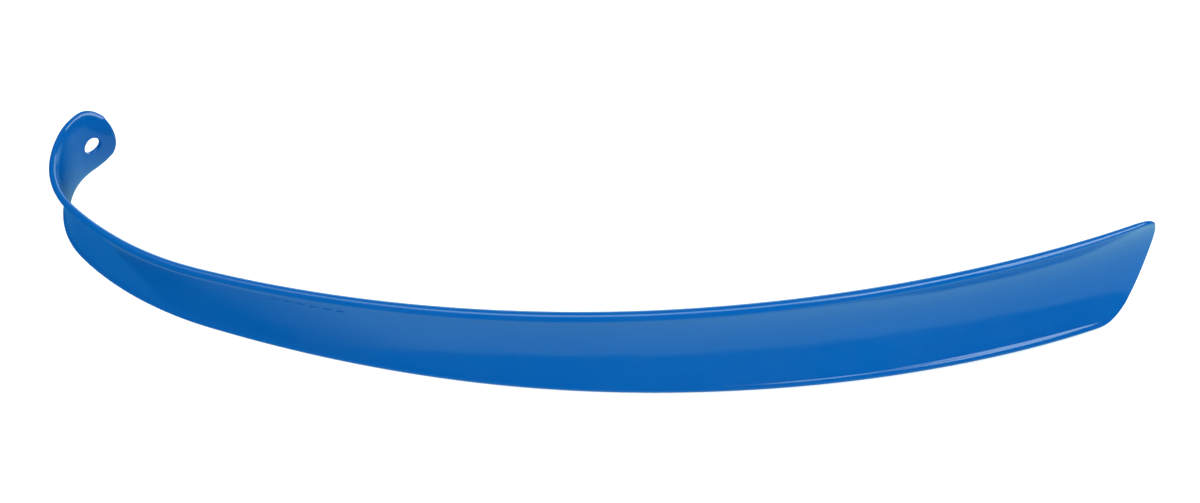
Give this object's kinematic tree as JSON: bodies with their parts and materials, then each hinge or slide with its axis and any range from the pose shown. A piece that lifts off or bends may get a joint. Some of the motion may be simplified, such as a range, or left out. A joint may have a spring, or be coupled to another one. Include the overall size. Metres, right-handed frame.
{
  "type": "long shoehorn",
  "caption": "Long-handled plastic shoehorn: a wide dished blade tapers into a bowed, rimmed shaft that ends in a hook with a rounded hanging tab.",
  "frame": {"origin": "bottom centre of the bounding box; the shoehorn stands on one long edge, its lengthwise mirror plane level", "axes": "+X along the length toward the blade tip, +Z across the strip from the lower long edge to the upper one, -Y out of the dished face"},
  "size_m": [0.4082, 0.105, 0.0579],
  "materials": {
    "blue_plastic": "polished mould gloss"
  },
  "bodies": {
    "root": {"shoehorn_moulding": "blue_plastic"}
  },
  "joints": []
}
